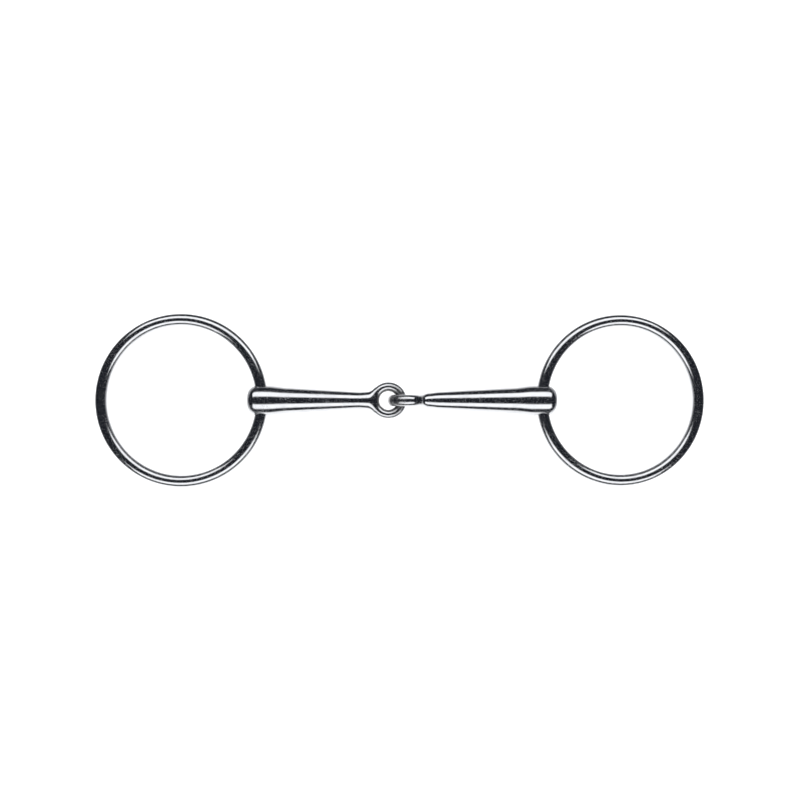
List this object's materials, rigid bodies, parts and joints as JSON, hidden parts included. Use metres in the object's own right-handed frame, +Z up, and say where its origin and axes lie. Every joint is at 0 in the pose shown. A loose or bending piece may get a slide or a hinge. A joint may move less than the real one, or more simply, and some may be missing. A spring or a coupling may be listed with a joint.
{
  "type": "snaffle bit",
  "caption": "Loose-ring snaffle bit for a horse: plain round rings run through the bored ends of a tapered steel mouthpiece that folds in the middle at interlinked eyes.",
  "frame": {"origin": "on the surface the bit lies on, under the middle of its overall length and width", "axes": "+X along the mouthpiece towards the half whose eye stands upright, +Y along the ring bores, +Z up from the surface"},
  "size_m": [0.2846, 0.0804, 0.0172],
  "materials": {
    "mouthpiece_steel": "stainless steel, mirror polished, fine wiping scratches",
    "ring_steel": "stainless steel wire, mirror polished"
  },
  "bodies": {
    "left_half": {"left_cannon": "mouthpiece_steel"},
    "right_half": {"right_cannon": "mouthpiece_steel"},
    "left_loose_ring": {"left_ring": "ring_steel"},
    "right_loose_ring": {"right_ring": "ring_steel"}
  },
  "joints": [
    {"name": "mouth_fold", "type": "hinge", "parent": "left_half", "child": "right_half", "pos_m": [0.0017, 0, 0.00863], "axis": [0, -1, 0], "range_deg": [-70, 75]},
    {"name": "left_ring_swing", "type": "hinge", "parent": "left_half", "child": "left_loose_ring", "pos_m": [-0.06528, 0, 0.00727], "axis": [0, 1, 0], "range_deg": [-87, 92]},
    {"name": "right_ring_swing", "type": "hinge", "parent": "right_half", "child": "right_loose_ring", "pos_m": [0.06528, 0, 0.00726], "axis": [0, -1, 0], "range_deg": [-87, 92]}
  ]
}
